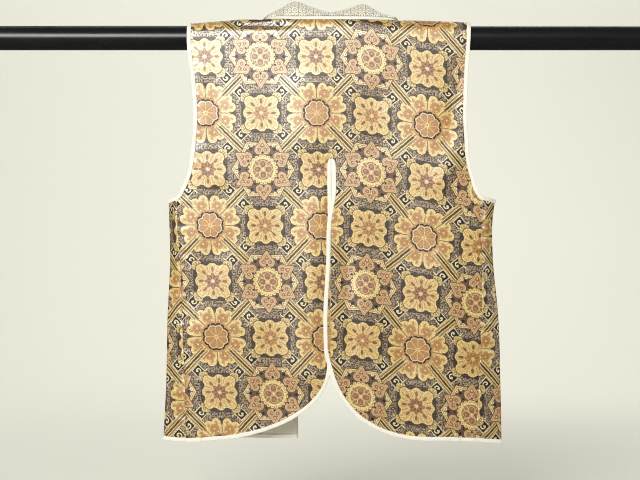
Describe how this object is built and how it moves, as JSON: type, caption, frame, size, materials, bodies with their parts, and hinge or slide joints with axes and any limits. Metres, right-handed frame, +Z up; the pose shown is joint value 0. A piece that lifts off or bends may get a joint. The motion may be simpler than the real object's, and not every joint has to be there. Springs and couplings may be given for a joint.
{
  "type": "sleeveless kimono vest on a hanging rod",
  "caption": "Sleeveless brocade surcoat with bound edges, a standing collar and a long back vent, hung by its armholes on a plain round rod.",
  "frame": {"origin": "on the rod's axis at the middle of its length, above the middle of the garment", "axes": "+X along the rod to the right as seen from the back of the garment, +Y from the garment's back to its fronts, +Z up"},
  "size_m": [1.4, 0.1046, 0.8874],
  "materials": {
    "gold_brocade": "woven silk and gold thread with a metallic sheen",
    "white_brocade": "woven satin with pale grey scrolls",
    "white_tape": "plain twill bias tape",
    "lining": "smooth lining taffeta",
    "black_gloss": "gloss paint"
  },
  "bodies": {
    "root": {"back": "gold_brocade", "front_left": "gold_brocade", "front_right": "gold_brocade", "gusset_left": "gold_brocade", "gusset_right": "gold_brocade", "collar": "white_brocade", "neck_piping": "white_tape", "armhole_tape_left": "white_tape", "armhole_tape_right": "white_tape", "hem_tape_left": "white_tape", "hem_tape_right": "white_tape", "lining_front_left": "lining", "rod": "black_gloss"}
  },
  "joints": []
}
